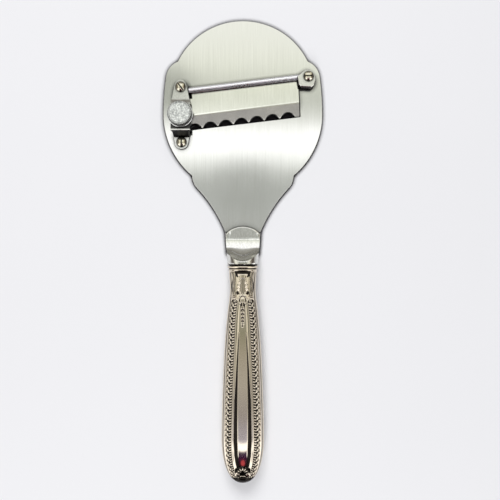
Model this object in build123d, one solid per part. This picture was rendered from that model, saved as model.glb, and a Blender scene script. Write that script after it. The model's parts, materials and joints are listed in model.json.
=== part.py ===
from build123d import *
import math
import os

# Truffle slicer, seen from the side where the slices come out.
# +X is right, +Y runs from the handle to the head, +Z up from the smooth sliding face at Z = 0.
# The origin lies under the middle of the whole length. Sizes are millimetres, angles degrees.

# Head plate, a lobed sheet
plate_thickness = 1.5
main_lobe_radius = 44.7
upper_lobe_inset = 4.0
lobe_spacing = 11.8
tail_length = 66.3
notch_rise = 17.9
notch_rounding = 1.0
cusp_turn = 50.2
shoulder_shares = (0.966, 0.481)
heel_shares = (0.15, 0.22)

# Neck: a tongue on the plate, a scooped bolster and a tang
neck_width = 19.8
neck_length = 18.7
tongue_arch = 4.7
tongue_thickness = 1.2
bolster_width = 16.8
bolster_height = 10.4
bolster_length = 5.5
crest_length = 2.5
scoop_radius = 14.0
tang_width = 6.0
tang_thickness = 3.0
tang_length = 62.0
tang_clearance = 0.05

# Handle: two shells over a cement core, behind a ringed collar
handle_length = 119.9
handle_width = 23.5
handle_thickness = 14.0
handle_lift = 0.02
shell_wall = 0.9
core_gap = 0.05
bead_length = 1.3
groove_length = 0.4
groove_depth = 0.6
ring_length = 0.5
ring_inset = 0.25
bead_rounding = 0.45
# The width and the thickness at even steps along the shells, up to the widest place
handle_shares = (
    (0.655, 0.735),
    (0.607, 0.71),
    (0.712, 0.785),
    (0.808, 0.865),
    (0.876, 0.92),
    (0.922, 0.955),
    (0.957, 0.98),
    (0.985, 0.995),
    (1.0, 1.0),
)
widest_share = 0.78
end_exponent = 2.3
end_step = 14.0
end_steps = 6

# Blade, measured in its own frame: along its edge, and forward from the pivot rod at its back
rod_below_top = 36.2
blade_skew = 6.9
blade_thickness = 1.0
blade_gap = 0.3
blade_left_margin = 4.8
blade_right_margin = 13.7
blade_end_lean = 3.74
blade_back_margin = 1.2
bend_reach = 13.7
edge_reach = 21.15
edge_lift = 0.1
ear_web = 0.5
ear_end_gap = 3.1
scallop_pitch = 8.8
scallop_radius = 3.8
scallop_depth = 2.4
scallop_side_gap = 8.1
edge_land = 0.12
grind_width = 1.3
mouth_gap = 0.45
window_side_gap = 0.5
window_back_gap = 1.2
window_corner = 0.5

# Pivot rod, and the two blocks that carry its ends
rod_diameter = 3.0
rod_flat = 0.25
rod_clearance = 0.05
rod_end_gap = 0.65
block_height = 5.0
block_clearance = 0.3
right_block_width = 10.3
right_block_length = 10.0
right_block_rounding = 0.8
right_screw_margin = 8.0
right_screw_v = 0.7
# Corners of the right block from its screw, across and along, the lower left one last but one
right_block_shares = (
    (-0.61, 0.0),
    (-0.16, 0.38),
    (0.05, 0.4),
    (0.38, 0.01),
    (0.39, -0.2),
    (0.3, -0.47),
    (0.145, -0.6),
    (-0.41, -0.56),
    (-0.53, -0.42),
)
left_block_width = 9.4
left_block_length = 9.0
left_block_inset = 0.2
left_block_rounding = 3.6

# Bridge over the left end of the blade, a bent strip with a tab at each end
strip_thickness = 1.2
strip_bend = 0.4
bridge_width = 10.7
platform_height = 7.6
platform_front_reach = 8.7
platform_back_reach = 6.4
front_slant = 2.6
back_slant = 2.2
lower_tab_length = 6.65
lower_tab_width = 9.4
lower_tab_radius = 3.8
upper_tab_length = 11.0
upper_tab_width = 9.8
upper_tab_radius = 4.1

# Adjusting stud through the blade's ear, with the knurled nut that lifts it
stud_inset = 3.6
stud_v = 13.74
stud_diameter = 4.0
stud_neck_diameter = 3.0
stud_head_diameter = 5.4
stud_head_thickness = 0.85
stud_collar_diameter = 6.8
stud_collar_thickness = 0.8
stud_play = 0.45
stud_hole_clearance = 0.7
stud_end_gap = 0.3
platform_hole_clearance = 0.15
thread_clearance = 0.05
knob_radius = 6.7
knob_height = 4.3
knob_flange_radius = 7.1
knob_flange_height = 0.7
knob_roof = 0.5
knurl_count = 44
knurl_depth = 0.35
cap_radius = 5.9
cap_thickness = 0.5
cap_clearance = 0.15
washer_radius = 5.0
washer_thickness = 0.5

# Spring that presses the blade down, round the stud
spring_wire = 0.5
spring_radius = 2.75
spring_curls = 3
spring_seat_gap = 0.02
quarters = 4

# Domed slotted screws
screw_diameter = 3.0
screw_head_diameter = 5.6
screw_head_side = 0.6
screw_head_dome = 1.1
screw_slot_width = 0.7
screw_slot_depth = 0.9
screw_hole_clearance = 0.1
screw_thread_gap = 0.02
screw_end_gap = 0.1
right_slot_turn = 0.0
upper_slot_turn = -53.0
lower_slot_turn = 90.0

# A length that carries every cut clear of the solid that it cuts
overrun = 5.0

# Heights
plate_top = plate_thickness
blade_low = plate_top + blade_gap
blade_top = blade_low + blade_thickness
rod_radius = rod_diameter / 2
rod_height = blade_top + rod_radius - rod_flat
block_top = plate_top + block_height
platform_top = plate_top + platform_height
platform_low = platform_top - strip_thickness
handle_axis = handle_thickness / 2 + handle_lift
bolster_top = handle_axis + bolster_height / 2
tongue_top = plate_top + tongue_thickness
knob_low = platform_top + washer_thickness
knob_top = knob_low + knob_height
cap_low = knob_top - cap_thickness
stud_roof = cap_low - knob_roof
collar_low = blade_top + stud_play
collar_top = collar_low + stud_collar_thickness
stud_head_top = blade_low - stud_play
stud_head_low = stud_head_top - stud_head_thickness

# Places along the length
upper_lobe_radius = main_lobe_radius - upper_lobe_inset
overall_length = handle_length + neck_length + tail_length + lobe_spacing + upper_lobe_radius
top_y = overall_length / 2
handle_front = handle_length - top_y
shell_front = handle_front - bead_length - groove_length - ring_length
shell_length = shell_front + top_y
upper_lobe_y = top_y - upper_lobe_radius
main_lobe_y = upper_lobe_y - lobe_spacing
tail_corner_y = handle_front + neck_length
tail_end_y = handle_front + bolster_length
rod_y = top_y - rod_below_top

# The blade's frame has its X axis under the pivot rod, and its Y axis towards the plate's top
blade_place = Location((0, rod_y, 0), (0, 0, blade_skew))
skew_cos = math.cos(math.radians(blade_skew))
skew_sin = math.sin(math.radians(blade_skew))
end_slope = math.tan(math.radians(blade_end_lean))
blade_drop = blade_low - edge_lift
incline = math.degrees(math.atan2(blade_drop, edge_reach - bend_reach))
blade_left_reach = main_lobe_radius - blade_left_margin
blade_right_reach = main_lobe_radius - blade_right_margin
right_screw_u = main_lobe_radius - right_screw_margin
stud_u = blade_left_reach - stud_inset
stud_hole_radius = stud_neck_diameter / 2 + stud_hole_clearance
ear_reach = edge_reach - ear_end_gap
ear_side = stud_hole_radius + ear_web - stud_u
scallop_span = blade_right_reach - scallop_side_gap - ear_side
window_front = edge_reach + mouth_gap


def to_plate(u, v):
    """A point of the blade's frame, in the plate's."""
    return (u * skew_cos - v * skew_sin, rod_y + u * skew_sin + v * skew_cos)


def to_blade(x, y):
    """A point of the plate's frame, in the blade's."""
    return (x * skew_cos + (y - rod_y) * skew_sin, (y - rod_y) * skew_cos - x * skew_sin)


# The bridge stands square to the plate, round the stud
stud_x, stud_y = to_plate(-stud_u, -stud_v)
platform_front = stud_y - platform_front_reach
platform_back = stud_y + platform_back_reach
lower_tab_root = platform_front - front_slant
lower_tab_end = lower_tab_root - lower_tab_length
upper_tab_root = platform_back + back_slant
upper_tab_end = upper_tab_root + upper_tab_length
lower_screw_y = lower_tab_end + lower_tab_radius
upper_screw_y = upper_tab_end - upper_tab_radius
left_block_back = upper_tab_end - left_block_inset
left_block_front = left_block_back - left_block_length
left_block_side = stud_x + left_block_width / 2
right_screw_x, right_screw_y = to_plate(right_screw_u, -right_screw_v)
right_corners = [
    (right_screw_x + right_block_width * across, right_screw_y + right_block_length * along)
    for across, along in right_block_shares
]

# Where the blade stops beside the blocks, and the rod beside their screws
screw_radius = screw_diameter / 2
screw_hole_radius = screw_radius + screw_hole_clearance
blade_back_left = to_blade(left_block_side, left_block_back)[0] + block_clearance
blade_back_right = to_blade(*right_corners[0])[0] - block_clearance
right_notch = to_blade(*right_corners[-2])[1] - block_clearance
ear_back = to_blade(left_block_side, left_block_front)[1] - block_clearance
rod_left = to_blade(stud_x, upper_screw_y)[0] + screw_hole_radius + rod_end_gap
rod_right = right_screw_u - screw_hole_radius - rod_end_gap


def slab(points, low, high):
    """A flat plate with a straight-edged outline, between two heights."""
    return extrude(Plane.XY.offset(low) * make_face(Polyline(*points, close=True)), high - low)


def rod_between(low, high, radius, x=0, y=0):
    """An upright round bar between two heights."""
    return Pos(x, y, low) * Cylinder(radius, high - low, align=(Align.CENTER, Align.CENTER, Align.MIN))


def box_between(x_low, x_high, y_low, y_high, z_low, z_high):
    """A box from its six sides."""
    corner = Box(x_high - x_low, y_high - y_low, z_high - z_low, align=Align.MIN)
    return Pos(x_low, y_low, z_low) * corner


def blade_end(reach, v):
    """Where an end of the blade or its window lies, as the ends lean."""
    return reach + v * end_slope


def plate_half():
    """The right half of the plate's outline, from the top to the end of its tail."""
    notch_x = math.sqrt(upper_lobe_radius**2 - notch_rise**2)
    notch = (notch_x, upper_lobe_y + notch_rise)
    shoulder = (
        main_lobe_radius * shoulder_shares[0],
        main_lobe_y + main_lobe_radius * shoulder_shares[1],
    )
    widest = (main_lobe_radius, main_lobe_y)
    cusp_angle = math.radians(cusp_turn)
    cusp = (
        main_lobe_radius * math.cos(cusp_angle),
        main_lobe_y - main_lobe_radius * math.sin(cusp_angle),
    )
    tail_corner = (neck_width / 2, tail_corner_y)
    heel = (
        cusp[0] - (cusp[0] - tail_corner[0]) * heel_shares[0],
        cusp[1] - (cusp[1] - tail_corner[1]) * heel_shares[1],
    )
    notch_angle = math.asin(notch_rise / upper_lobe_radius)
    middle = (notch_angle + math.pi / 2) / 2
    crown = (
        upper_lobe_radius * math.cos(middle),
        upper_lobe_y + upper_lobe_radius * math.sin(middle),
    )
    upper = ThreePointArc((0, top_y), crown, notch)
    side = TangentArc(widest, shoulder, tangent=(0, 1))
    shoulder_arc = TangentArc(shoulder, notch, tangent=side % 1)
    low_middle = cusp_angle / 2
    belly = (
        main_lobe_radius * math.cos(low_middle),
        main_lobe_y - main_lobe_radius * math.sin(low_middle),
    )
    lower = ThreePointArc(widest, belly, cusp)
    heel_arc = TangentArc(cusp, heel, tangent=(0, -1))
    tail_arc = TangentArc(heel, tail_corner, tangent=heel_arc % 1)
    tail_side = Line(tail_corner, (neck_half(tail_end_y), tail_end_y))
    tail_end = Line((neck_half(tail_end_y), tail_end_y), (0, tail_end_y))
    middle_line = Line((0, tail_end_y), (0, top_y))
    edges = [upper, side, shoulder_arc, lower, heel_arc, tail_arc, tail_side, tail_end, middle_line]
    return make_face(Curve() + edges), notch


def neck_half(y):
    """Half the width of the neck at a place along it."""
    share = (y - handle_front) / neck_length
    return bolster_width / 2 + (neck_width - bolster_width) / 2 * share


def head_plate():
    """The lobed plate, with the blade's window and four threaded holes."""
    half, notch = plate_half()
    outline = half + mirror(half, Plane.YZ)
    plate = extrude(outline, plate_thickness)
    notch_edges = [
        edge
        for edge in plate.edges().filter_by(Axis.Z)
        if abs(abs(edge.center().X) - notch[0]) + abs(edge.center().Y - notch[1]) < notch_rounding
    ]
    plate = fillet(notch_edges, notch_rounding)
    corners = []
    for reach, v in (
        (-blade_left_reach - window_side_gap, -window_back_gap),
        (blade_right_reach + window_side_gap, -window_back_gap),
        (blade_right_reach + window_side_gap, -window_front),
        (-blade_left_reach - window_side_gap, -window_front),
    ):
        corners.append((blade_end(reach, v), v))
    window = slab(corners, -overrun, plate_top + overrun)
    window = fillet(window.edges().filter_by(Axis.Z), window_corner)
    plate -= blade_place * window
    hole_radius = screw_radius + screw_thread_gap
    for x, y in ((right_screw_x, right_screw_y), (stud_x, upper_screw_y), (stud_x, lower_screw_y)):
        plate -= rod_between(-overrun, plate_top + overrun, hole_radius, x, y)
    return plate


def blade():
    """The blade: a flat back, an inclined front with ground scallops, and a flat ear for the stud."""
    profile = Plane.YZ * make_face(
        Polyline(
            (blade_back_margin, blade_low),
            (blade_back_margin, blade_top),
            (-bend_reach, blade_top),
            (-edge_reach, blade_top - blade_drop),
            (-edge_reach, edge_lift),
            (-bend_reach, blade_low),
            close=True,
        )
    )
    strip = extrude(profile, overall_length / 2, both=True)
    plan = [
        (blade_back_left, blade_back_margin),
        (blade_back_right, blade_back_margin),
        (blade_back_right, right_notch),
        (blade_end(blade_right_reach, right_notch), right_notch),
        (blade_end(blade_right_reach, -edge_reach), -edge_reach),
        (ear_side, -edge_reach),
        (ear_side, ear_back),
        (blade_back_left, ear_back),
    ]
    ear = [
        (ear_side, ear_back),
        (blade_end(-blade_left_reach, ear_back), ear_back),
        (blade_end(-blade_left_reach, -ear_reach), -ear_reach),
        (ear_side, -ear_reach),
    ]
    sheet = strip & slab(plan, -overrun, blade_top + overrun)
    sheet += slab(ear, blade_low, blade_top)
    for number in range(1 + int(scallop_span / scallop_pitch)):
        sheet -= scallop(blade_right_reach - scallop_side_gap - number * scallop_pitch)
    sheet -= rod_between(
        blade_low - overrun, blade_top + overrun, stud_hole_radius, -stud_u, -stud_v
    )
    return blade_place * sheet


def scallop(u):
    """One ground scallop: a round bite out of the edge, that widens towards the slices."""
    middle_v = scallop_depth - edge_reach - scallop_radius
    middle_z = edge_lift + (middle_v + edge_reach) * math.tan(math.radians(incline))
    widening = grind_width / blade_thickness
    bite = rod_between(-overrun, edge_land, scallop_radius)
    cone = Cone(
        scallop_radius,
        scallop_radius + overrun * widening,
        overrun,
        align=(Align.CENTER, Align.CENTER, Align.MIN),
    )
    bite += Pos(0, 0, edge_land) * cone
    return Pos(u, middle_v, middle_z) * Rot(incline, 0, 0) * bite


def pivot_rod():
    """The round rod that the blade hangs on, flattened where the blade is soldered to it."""
    length = rod_right - rod_left
    bar = Pos(rod_left, 0, rod_height) * Rot(0, 90, 0) * Cylinder(
        rod_radius, length, align=(Align.CENTER, Align.CENTER, Align.MIN)
    )
    flat = box_between(
        blade_back_left - block_clearance / 2,
        blade_back_right + block_clearance / 2,
        -rod_diameter,
        rod_diameter,
        blade_top - overrun,
        blade_top,
    )
    return blade_place * (bar - flat)


def rod_bore():
    """The bore that the pivot rod turns in, as a cutter for both blocks."""
    bore = Pos(rod_left - block_clearance, 0, rod_height) * Rot(0, 90, 0) * Cylinder(
        rod_radius + rod_clearance,
        rod_right - rod_left + 2 * block_clearance,
        align=(Align.CENTER, Align.CENTER, Align.MIN),
    )
    return blade_place * bore


def rod_block_right():
    """The shaped block at the rod's right end."""
    block = slab(right_corners, plate_top, block_top)
    block = fillet(block.edges().filter_by(Axis.Z), right_block_rounding)
    block -= rod_bore()
    return block - rod_between(0, block_top + overrun, screw_hole_radius, right_screw_x, right_screw_y)


def rod_block_left():
    """The block at the rod's left end, under the bridge's upper tab."""
    block = box_between(
        stud_x - left_block_width / 2,
        left_block_side,
        left_block_front,
        left_block_back,
        plate_top,
        block_top,
    )
    back_edges = block.edges().filter_by(Axis.Z).sort_by(Axis.Y)[-2:]
    block = fillet(back_edges, left_block_rounding)
    block -= rod_bore()
    return block - rod_between(0, block_top + overrun, screw_hole_radius, stud_x, upper_screw_y)


def bridge_bracket():
    """The bent strip over the blade's ear: lower tab, slanted riser, platform, upper tab."""
    tab_low = plate_top + strip_thickness
    tab_high = block_top + strip_thickness
    path = [
        (lower_tab_end - overrun, tab_low),
        (lower_tab_root, tab_low),
        (platform_front, platform_top),
        (platform_back, platform_top),
        (upper_tab_root, tab_high),
        (upper_tab_end + overrun, tab_high),
    ]
    with BuildSketch(Plane.YZ) as section:
        with BuildLine():
            FilletPolyline(*path, radius=strip_bend)
            offset(amount=strip_thickness, side=Side.RIGHT)
        make_face()
    strip = extrude(section.sketch, bridge_width / 2, both=True)
    plan = Pos(0, (platform_front + upper_tab_root) / 2) * Rectangle(
        bridge_width, upper_tab_root - platform_front
    )
    plan += tab_outline(upper_tab_root, upper_tab_end, upper_tab_width, upper_tab_radius)
    plan += tab_outline(platform_front, lower_tab_end, lower_tab_width, lower_tab_radius)
    strip &= extrude(plan, platform_top + overrun)
    strip = Pos(stud_x, 0, 0) * strip
    hole = stud_diameter / 2 + platform_hole_clearance
    strip -= rod_between(platform_low - overrun, platform_top + overrun, hole, stud_x, stud_y)
    for y in (lower_screw_y, upper_screw_y):
        strip -= rod_between(0, platform_top + overrun, screw_hole_radius, stud_x, y)
    return strip


def tab_outline(root, end, width, radius):
    """A tab that narrows from its root to a round end."""
    middle = end - math.copysign(radius, end - root)
    outline = [(-width / 2, root), (-radius, middle), (radius, middle), (width / 2, root)]
    return make_face(Polyline(*outline, close=True)) + Pos(0, middle) * Circle(radius)


def slotted_screw(shank_length, turn):
    """A domed screw with its seat at the origin and its shank below."""
    radius = screw_head_diameter / 2
    dome_radius = (radius**2 + screw_head_dome**2) / (2 * screw_head_dome)
    head = rod_between(0, screw_head_side, radius)
    dome = Pos(0, 0, screw_head_side + screw_head_dome - dome_radius) * Sphere(dome_radius)
    dome &= rod_between(screw_head_side, screw_head_side + screw_head_dome, radius)
    screw = head + dome + rod_between(-shank_length, 0, screw_radius)
    slot_low = screw_head_side + screw_head_dome - screw_slot_depth
    slot = box_between(
        -screw_head_diameter,
        screw_head_diameter,
        -screw_slot_width / 2,
        screw_slot_width / 2,
        slot_low,
        slot_low + overrun,
    )
    return screw - Rot(0, 0, turn) * slot


def seated_screw(x, y, seat, turn):
    """A screw whose head sits at a height and whose shank ends just inside the sliding face."""
    return Pos(x, y, seat) * slotted_screw(seat - screw_end_gap, turn)


def adjusting_stud():
    """The threaded stud, with a collar above the blade's ear and a riveted head below it."""
    stud = rod_between(stud_head_low, stud_head_top, stud_head_diameter / 2)
    stud += rod_between(stud_head_top, collar_low, stud_neck_diameter / 2)
    stud += rod_between(collar_low, collar_top, stud_collar_diameter / 2)
    stud += rod_between(collar_top, stud_roof - stud_end_gap, stud_diameter / 2)
    return Pos(stud_x, stud_y, 0) * stud


def thumb_knob():
    """The knurled round nut, with a thin flange, a blind thread and a recess for its cap."""
    teeth = []
    for number in range(2 * knurl_count):
        angle = math.pi * number / knurl_count
        reach = knob_radius - (number % 2) * knurl_depth
        teeth.append((reach * math.cos(angle), reach * math.sin(angle)))
    flange_top = knob_low + knob_flange_height
    knob = slab(teeth, flange_top, knob_top)
    knob += rod_between(knob_low, flange_top, knob_flange_radius)
    knob -= rod_between(cap_low, knob_top + overrun, cap_radius + cap_clearance)
    knob -= rod_between(knob_low - overrun, stud_roof, stud_diameter / 2 + thread_clearance)
    return Pos(stud_x, stud_y, 0) * knob


def knob_cap():
    """The plain disc let into the knob's top."""
    return rod_between(cap_low, knob_top, cap_radius, stud_x, stud_y)


def knob_washer():
    """The flat washer between the knob and the platform."""
    washer = rod_between(platform_top, knob_low, washer_radius, stud_x, stud_y)
    hole = stud_diameter / 2 + platform_hole_clearance
    return washer - rod_between(platform_top - overrun, knob_low + overrun, hole, stud_x, stud_y)


def spring_height(share):
    """The height of the wire's middle at a share of the spring's curls."""
    low = collar_top + spring_wire / 2 + spring_seat_gap
    high = platform_low - spring_wire / 2 - spring_seat_gap
    return low + (high - low) * share


def spring_point(step):
    """A place on the spring's helix, and the direction of the wire there."""
    steps = spring_curls * quarters
    angle = 2 * math.pi * step / quarters
    place = Vector(
        spring_radius * math.cos(angle), spring_radius * math.sin(angle), spring_height(step / steps)
    )
    climb = (spring_height(1) - spring_height(0)) / (2 * math.pi * spring_curls)
    heading = Vector(-spring_radius * math.sin(angle), spring_radius * math.cos(angle), climb)
    return place, heading.normalized()


def biarc(start, start_heading, end, end_heading):
    """Two arcs that join two places and keep both headings."""
    chord = end - start
    both = start_heading + end_heading
    spread = 2 * (1 - start_heading.dot(end_heading))
    along = chord.dot(both)
    reach = (math.sqrt(along**2 + spread * chord.dot(chord)) - along) / spread
    first = start + start_heading * reach
    second = end - end_heading * reach
    joint = (first + second) / 2
    return [
        TangentArc(start, joint, tangent=start_heading),
        TangentArc(joint, end, tangent=second - first),
    ]


def compression_spring():
    """The open spring round the stud, one unbroken wire."""
    steps = spring_curls * quarters
    arcs = []
    for step in range(steps):
        arcs += biarc(*spring_point(step), *spring_point(step + 1))
    path = Wire([arc.edge() for arc in arcs])
    start, heading = spring_point(0)
    section = Plane(origin=start, z_dir=heading) * Circle(spring_wire / 2)
    spring = sweep(section, path=path)
    places = [spring_point(step / quarters)[0] for step in range(steps * quarters + 1)]
    apart = quarters * quarters // 2
    gap = min(
        (places[near] - places[far]).length
        for near in range(len(places))
        for far in range(near + apart, len(places))
    )
    print("spring, least gap between its curls", round(gap - spring_wire, 3))
    print("spring, volume over section times length", round(
        spring.volume / (math.pi * (spring_wire / 2) ** 2 * path.length), 4
    ))
    return Pos(stud_x, stud_y, 0) * spring


def neck_section(y, flat_foot):
    """The neck's outline across it: an oval, or an oval crown over straight sides down to the plate."""
    half = neck_half(y)
    plane = Plane(origin=(0, y, handle_axis), x_dir=(1, 0, 0), z_dir=(0, -1, 0))
    crown = bolster_height / 2
    if not flat_foot:
        return plane * Ellipse(half, crown)
    foot = plate_top - handle_axis
    arch = EllipticalCenterArc((0, 0), half, crown, start_angle=0, arc_size=180)
    sides = Polyline((-half, 0), (-half, foot), (half, foot), (half, 0))
    return plane * make_face(arch + sides)


def neck_bolster():
    """The neck: a tongue on the plate, a scoop that rises to the bolster, and the tang."""
    tip_y = tail_corner_y + tongue_arch
    body = loft([neck_section(tail_end_y, True), neck_section(tip_y, True)])
    body += loft([neck_section(handle_front, False), neck_section(tail_end_y, False)])
    rise = bolster_top - tongue_top
    crest_y = handle_front + crest_length
    flat_y = crest_y + math.sqrt(scoop_radius**2 - (scoop_radius - rise) ** 2)
    half_turn = math.atan2(flat_y - crest_y, scoop_radius - rise) / 2
    scoop_middle = (
        flat_y - scoop_radius * math.sin(half_turn),
        tongue_top + scoop_radius - scoop_radius * math.cos(half_turn),
    )
    scoop_arc = ThreePointArc((crest_y, bolster_top), scoop_middle, (flat_y, tongue_top))
    above = Polyline(
        (flat_y, tongue_top),
        (tip_y + overrun, tongue_top),
        (tip_y + overrun, bolster_top + overrun),
        (crest_y, bolster_top + overrun),
        (crest_y, bolster_top),
    )
    scoop = Plane.YZ * make_face(scoop_arc + above)
    body -= extrude(scoop, neck_width, both=True)
    half = neck_width / 2
    arch = ThreePointArc((-half, tail_corner_y), (0, tip_y), (half, tail_corner_y))
    back = Polyline(
        (half, tail_corner_y),
        (neck_width, tail_corner_y),
        (neck_width, handle_front - overrun),
        (-neck_width, handle_front - overrun),
        (-neck_width, tail_corner_y),
        (-half, tail_corner_y),
    )
    body &= extrude(make_face(arch + back), bolster_top + overrun)
    return body + tang(0)


def tang(clearance):
    """The flat tang, or with a clearance the slot for it."""
    half = tang_width / 2 + clearance
    half_depth = tang_thickness / 2 + clearance
    return box_between(
        -half,
        half,
        handle_front - tang_length - clearance,
        handle_front + clearance,
        handle_axis - half_depth,
        handle_axis + half_depth,
    )


def oval_disc(front, length, inset):
    """An oval slice of the collar."""
    plane = Plane(origin=(0, front, handle_axis), x_dir=(1, 0, 0), z_dir=(0, -1, 0))
    return extrude(plane * Ellipse(bolster_width / 2 - inset, bolster_height / 2 - inset), length)


def handle_collar():
    """The collar: a round bead, a groove and a thin ring."""
    bead = oval_disc(handle_front, bead_length, 0)
    bead = fillet(bead.edges(), bead_rounding)
    groove_front = handle_front - bead_length
    collar = bead + oval_disc(groove_front, groove_length, groove_depth)
    collar += oval_disc(groove_front - groove_length, ring_length, ring_inset)
    return collar - tang(tang_clearance)


def handle_section(y, half_width, half_height):
    """An oval across the handle."""
    plane = Plane(origin=(0, y, handle_axis), x_dir=(1, 0, 0), z_dir=(0, -1, 0))
    return plane * Ellipse(half_width, half_height)


def handle_form(inset):
    """The handle's full form, or with an inset the hollow inside its shells."""
    widest_y = shell_front - shell_length * widest_share
    step = (shell_front - widest_y) / (len(handle_shares) - 1)
    sections = [
        handle_section(
            shell_front - step * number,
            handle_width * shares[0] / 2 - inset,
            handle_thickness * shares[1] / 2 - inset,
        )
        for number, shares in enumerate(handle_shares)
    ]
    power = 2 / end_exponent
    last = math.radians(end_step * end_steps)
    reach = (widest_y + top_y - inset) / math.sin(last) ** power
    for number in range(1, end_steps + 1):
        turn = math.radians(end_step * number)
        shrink = math.cos(turn) ** power
        sections.append(
            handle_section(
                widest_y - reach * math.sin(turn) ** power,
                (handle_width / 2 - inset) * shrink,
                (handle_thickness / 2 - inset) * shrink,
            )
        )
    return loft(sections)


def handle_parts():
    """The front and back shells, which meet in the middle, and the cement core in them."""
    walls = handle_form(0) - handle_form(shell_wall)
    reach = handle_width
    above = box_between(
        -reach, reach, -top_y - overrun, handle_front, handle_axis, handle_axis + handle_thickness
    )
    below = box_between(
        -reach, reach, -top_y - overrun, handle_front, handle_axis - handle_thickness, handle_axis
    )
    core = handle_form(shell_wall + core_gap) - tang(tang_clearance)
    return walls & above, walls & below, core


def save(name, solid):
    """Writes one node's file."""
    solid.label = name
    export_step(solid, os.path.join("parts", name + ".step"))


os.makedirs("parts", exist_ok=True)
shell_front_half, shell_back_half, core = handle_parts()
nodes = {
    "head_plate": head_plate(),
    "blade": blade(),
    "pivot_rod": pivot_rod(),
    "rod_block_right": rod_block_right(),
    "rod_block_left": rod_block_left(),
    "block_screw": seated_screw(right_screw_x, right_screw_y, block_top, right_slot_turn),
    "bridge_bracket": bridge_bracket(),
    "bridge_screw_upper": seated_screw(
        stud_x, upper_screw_y, block_top + strip_thickness, upper_slot_turn
    ),
    "bridge_screw_lower": seated_screw(
        stud_x, lower_screw_y, plate_top + strip_thickness, lower_slot_turn
    ),
    "adjusting_stud": adjusting_stud(),
    "thumb_knob": thumb_knob(),
    "knob_cap": knob_cap(),
    "knob_washer": knob_washer(),
    "compression_spring": compression_spring(),
    "neck_bolster": neck_bolster(),
    "handle_collar": handle_collar(),
    "handle_shell_front": shell_front_half,
    "handle_shell_back": shell_back_half,
    "handle_core": core,
}
for name, solid in nodes.items():
    save(name, solid)
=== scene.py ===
import bmesh
import bpy
import json
import math
import numpy as np
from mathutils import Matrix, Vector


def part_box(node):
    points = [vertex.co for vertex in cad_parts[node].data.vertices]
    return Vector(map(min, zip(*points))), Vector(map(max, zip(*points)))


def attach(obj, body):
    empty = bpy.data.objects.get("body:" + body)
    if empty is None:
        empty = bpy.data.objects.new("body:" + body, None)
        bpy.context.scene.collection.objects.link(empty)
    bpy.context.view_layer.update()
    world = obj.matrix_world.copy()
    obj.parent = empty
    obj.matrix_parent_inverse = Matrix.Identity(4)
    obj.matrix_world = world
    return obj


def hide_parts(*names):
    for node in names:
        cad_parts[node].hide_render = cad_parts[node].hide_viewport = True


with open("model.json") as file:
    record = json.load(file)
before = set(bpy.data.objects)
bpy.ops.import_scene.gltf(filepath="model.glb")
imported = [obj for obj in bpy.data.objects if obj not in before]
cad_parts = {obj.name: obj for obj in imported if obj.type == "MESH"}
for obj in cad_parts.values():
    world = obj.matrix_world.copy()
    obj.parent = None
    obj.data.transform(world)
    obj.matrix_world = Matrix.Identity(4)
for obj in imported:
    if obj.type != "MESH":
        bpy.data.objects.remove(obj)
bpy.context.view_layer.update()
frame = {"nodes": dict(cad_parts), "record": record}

# Blender's unit is the metre, so a millimetre is this long.
MM = 0.001
# Corners closer than this, in metres, are one
weld = 1e-7


def linear(code):
    """An sRGB hex value such as C8C9C4, as a linear colour."""
    parts = [int(code[place : place + 2], 16) / 255 for place in (0, 2, 4)]
    return [p / 12.92 if p <= 0.04045 else ((p + 0.055) / 1.055) ** 2.4 for p in parts] + [1.0]


def add(tree, kind, values={}, links={}, stops=(), **settings):
    """Adds a node with its settings, its sockets' values, its links and a ramp's stops."""
    node = tree.nodes.new(kind)
    for name, value in settings.items():
        setattr(node, name, value)
    for name, value in values.items():
        node.inputs[name].default_value = value
    for name, source in links.items():
        tree.links.new(source, node.inputs[name])
    for number, (place, code) in enumerate(stops):
        ramp = node.color_ramp.elements
        stop = ramp[number] if number < 2 else ramp.new(place)
        stop.position = place
    for number, (place, code) in enumerate(stops):
        node.color_ramp.elements[number].color = linear(code)
    return node


def material(name):
    """A new material with an empty tree, its surface shader and its Object coordinates."""
    made = bpy.data.materials.new(name)
    made.use_nodes = True
    tree = made.node_tree
    tree.nodes.clear()
    shader = add(tree, "ShaderNodeBsdfPrincipled")
    add(tree, "ShaderNodeOutputMaterial", links={"Surface": shader.outputs["BSDF"]})
    place = add(tree, "ShaderNodeTexCoord").outputs["Object"]
    return made, tree, shader, place


# The metals. Each is one shader with scratches of a real size, with tarnish in the silver's stamping, and
# with painted shade on the steel's walls, slots and grooves and where pieces meet.

# Painted shade: the near black painted where pieces meet and in the neck's groove
painted_crevice_shade = "0C0A0C"


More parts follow.
